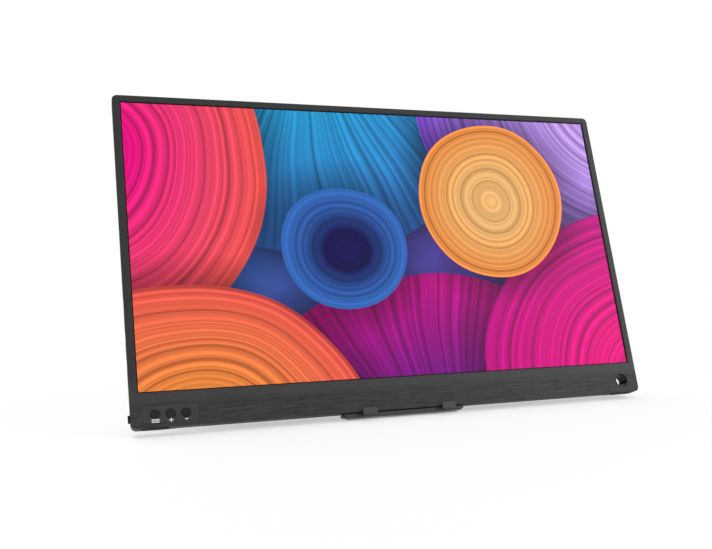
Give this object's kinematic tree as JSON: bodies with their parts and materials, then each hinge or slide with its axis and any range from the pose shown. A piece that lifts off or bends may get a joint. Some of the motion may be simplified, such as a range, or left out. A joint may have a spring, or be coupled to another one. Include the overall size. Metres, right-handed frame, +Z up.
{
  "type": "portable monitor with stand cover",
  "caption": "Flat portable monitor with a brushed chin, push buttons, a round pen hole, a hook tray and a hinged stand cover on its back that holds it leaning.",
  "frame": {"origin": "on the desk under the hook tray's pad, at the middle of the case's width", "axes": "+X to the right along the screen as its viewer sees it, +Y from the screen to the back, +Z up"},
  "size_m": [0.3591, 0.0941, 0.2112],
  "materials": {
    "case_plastic": "fine moulded texture",
    "cover_plastic": "fine moulded texture",
    "brushed_trim": "dark anodised, brushed lengthwise",
    "control_gloss": "satin",
    "button_black": "satin",
    "screen": "anti-glare, lit picture",
    "optical_sheet": "translucent white",
    "panel_metal": "plain sheet",
    "bright_steel": "satin",
    "board_green": "solder mask",
    "chip_black": "moulded",
    "flat_cable": "film",
    "hole_lining": "polished",
    "tray_metal": "satin paint",
    "rubber_black": "matt"
  },
  "bodies": {
    "case": {"front_bezel": "case_plastic", "chin_trim": "brushed_trim", "control_plate": "control_gloss", "screen_glass": "screen", "diffuser_sheet": "optical_sheet", "light_guide": "optical_sheet", "reflector_sheet": "optical_sheet", "led_bar": "board_green", "panel_pan": "panel_metal", "driver_board": "board_green", "panel_cable": "flat_cable", "rear_cover": "case_plastic", "case_screws": "bright_steel", "main_board": "board_green", "main_board_screws": "bright_steel", "main_chips": "chip_black", "shield_can": "bright_steel", "board_cable": "flat_cable", "port_board": "board_green", "usb_port_low": "bright_steel", "usb_port_high": "bright_steel", "hdmi_port": "bright_steel", "speaker_left": "chip_black", "speaker_right": "chip_black", "button_board": "board_green", "button_switches": "chip_black", "power_switch": "chip_black", "wheel_board": "board_green", "wheel_switch": "chip_black", "wheel_axle": "bright_steel", "pen_hole_sleeve": "hole_lining", "case_magnets": "bright_steel", "hinge_bracket_left": "bright_steel", "hinge_bracket_right": "bright_steel", "hinge_pin_left": "bright_steel", "hinge_pin_right": "bright_steel", "hinge_screws": "bright_steel", "hook_tray": "tray_metal", "hook_pads": "rubber_black", "tray_foot": "rubber_black", "tray_screws": "bright_steel", "foot_left": "rubber_black", "foot_right": "rubber_black"},
    "stand": {"stand_flap": "cover_plastic", "hinge_leaf_left": "bright_steel", "hinge_leaf_right": "bright_steel", "leaf_screws": "bright_steel", "flap_foot": "rubber_black", "flap_keepers": "bright_steel"},
    "button_menu": {"button_menu": "button_black"},
    "button_plus": {"button_plus": "button_black"},
    "button_minus": {"button_minus": "button_black"},
    "power_button": {"power_button": "button_black"},
    "jog_wheel": {"jog_wheel": "button_black"}
  },
  "joints": [
    {"name": "stand_hinge", "type": "hinge", "parent": "case", "child": "stand", "pos_m": [0, 0.04263, 0.10236], "axis": [1, 0, 0], "range_deg": [-38.3, 51.7]},
    {"name": "button_menu_press", "type": "slide", "parent": "case", "child": "button_menu", "axis": [0, 0.9309, -0.3654], "range_m": [0, 0.0006], "stiffness_N_per_m": 2000},
    {"name": "button_plus_press", "type": "slide", "parent": "case", "child": "button_plus", "axis": [0, 0.9309, -0.3654], "range_m": [0, 0.0006], "stiffness_N_per_m": 2000},
    {"name": "button_minus_press", "type": "slide", "parent": "case", "child": "button_minus", "axis": [0, 0.9309, -0.3654], "range_m": [0, 0.0006], "stiffness_N_per_m": 2000},
    {"name": "power_button_press", "type": "slide", "parent": "case", "child": "power_button", "axis": [1, 0, 0], "range_m": [0, 0.0007], "stiffness_N_per_m": 2200},
    {"name": "jog_wheel_turn", "type": "hinge", "parent": "case", "child": "jog_wheel", "pos_m": [0.17618, 0.00558, 0.01592], "axis": [0, 0.9309, -0.3654], "range_deg": [-15, 15], "stiffness_Nm_per_rad": 0.02}
  ]
}
